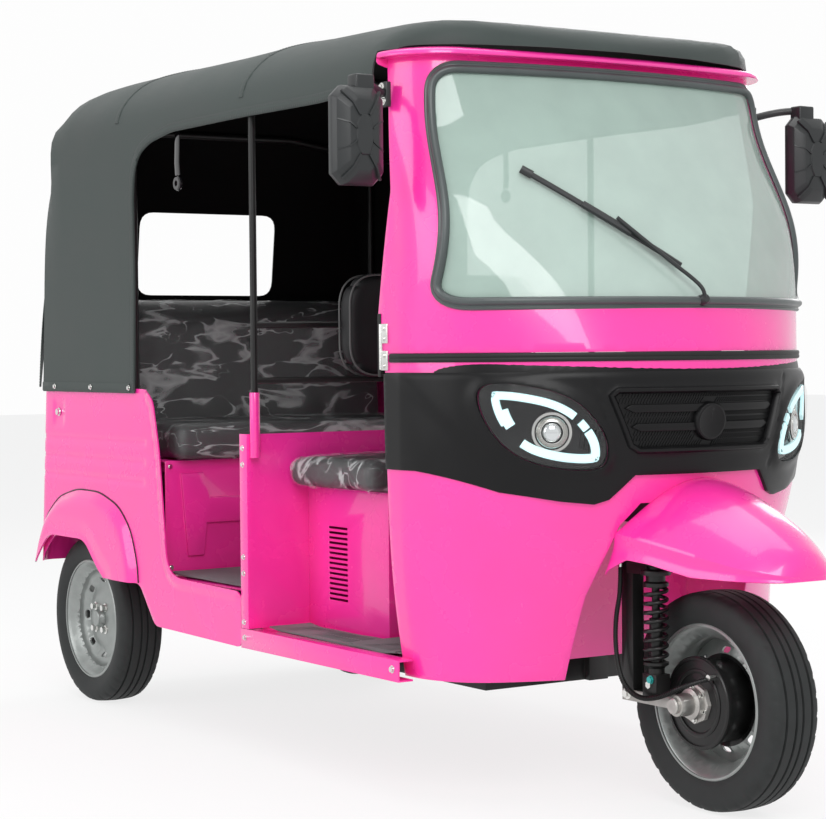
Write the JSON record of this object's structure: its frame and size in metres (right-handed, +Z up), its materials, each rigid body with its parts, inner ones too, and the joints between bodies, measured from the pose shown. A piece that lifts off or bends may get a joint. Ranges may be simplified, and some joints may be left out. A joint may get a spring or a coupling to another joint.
{
  "type": "auto rickshaw",
  "caption": "Three-wheeled passenger auto rickshaw with a sheet-metal body open at the sides, a fabric canopy and one steered front wheel.",
  "frame": {"origin": "on the ground, under the middle of the overall length and width", "axes": "+Z up, the vehicle's front faces -Y and +X is its left side"},
  "size_m": [1.49, 2.7933, 1.8759],
  "materials": {
    "pink_paint": "gloss",
    "black_frame": "satin",
    "black_plastic": "matte",
    "dark_rubber": "matte",
    "screen_glass": "clear",
    "lamp_lens": "clear",
    "tail_lens": "gloss",
    "canopy_vinyl": "matte",
    "seat_vinyl": "satin",
    "mat_rubber": "matte",
    "tyre_rubber": "matte",
    "rim_steel": "satin",
    "axle_alloy": "cast",
    "bright_steel": "polished",
    "battery_case": "matte"
  },
  "bodies": {
    "body": {"chassis_frame": "black_frame", "floor_pan": "black_frame", "front_cowl": "pink_paint", "wheel_well": "pink_paint", "windscreen_panel": "pink_paint", "windscreen_seal": "dark_rubber", "windscreen": "screen_glass", "belt_strip": "dark_rubber", "front_trim": "black_plastic", "headlamps": "lamp_lens", "grille": "black_plastic", "wiper": "black_plastic", "roof_header": "pink_paint", "rear_body": "pink_paint", "rear_fenders": "pink_paint", "sills": "pink_paint", "partition": "pink_paint", "guard_rails": "black_frame", "driver_seat_box": "pink_paint", "driver_cushion": "seat_vinyl", "driver_backrest": "seat_vinyl", "passenger_seat_base": "pink_paint", "passenger_cushion": "seat_vinyl", "passenger_backrest": "seat_vinyl", "battery_block": "battery_case", "dashboard": "black_plastic", "floor_mats": "mat_rubber", "front_mudguard": "pink_paint", "mirrors": "black_plastic", "hinge_plates": "bright_steel", "canopy": "canopy_vinyl", "canopy_frame": "black_frame", "grab_handles": "black_plastic", "tail_lamps": "tail_lens", "rear_axle": "black_frame"},
    "fork": {"fork_leg": "black_frame", "handlebar": "black_frame", "shock_absorber": "black_frame", "axle_link": "axle_alloy", "brake_hose": "dark_rubber"},
    "front_wheel": {"front_tyre": "tyre_rubber", "front_rim": "rim_steel"},
    "rear_wheel_left": {"rear_left_tyre": "tyre_rubber", "rear_left_rim": "rim_steel"},
    "rear_wheel_right": {"rear_right_tyre": "tyre_rubber", "rear_right_rim": "rim_steel"}
  },
  "joints": [
    {"name": "steering", "type": "hinge", "parent": "body", "child": "fork", "pos_m": [0, -0.9726, 0.6], "axis": [0, 0.2924, 0.9563], "range_deg": [-35, 35]},
    {"name": "front_wheel_spin", "type": "hinge", "parent": "fork", "child": "front_wheel", "pos_m": [0, -1.116, 0.247], "axis": [1, 0, 0], "continuous": true},
    {"name": "rear_wheel_left_spin", "type": "hinge", "parent": "body", "child": "rear_wheel_left", "pos_m": [0.445, 1.134, 0.247], "axis": [1, 0, 0], "continuous": true},
    {"name": "rear_wheel_right_spin", "type": "hinge", "parent": "body", "child": "rear_wheel_right", "pos_m": [-0.445, 1.134, 0.247], "axis": [1, 0, 0], "continuous": true}
  ]
}
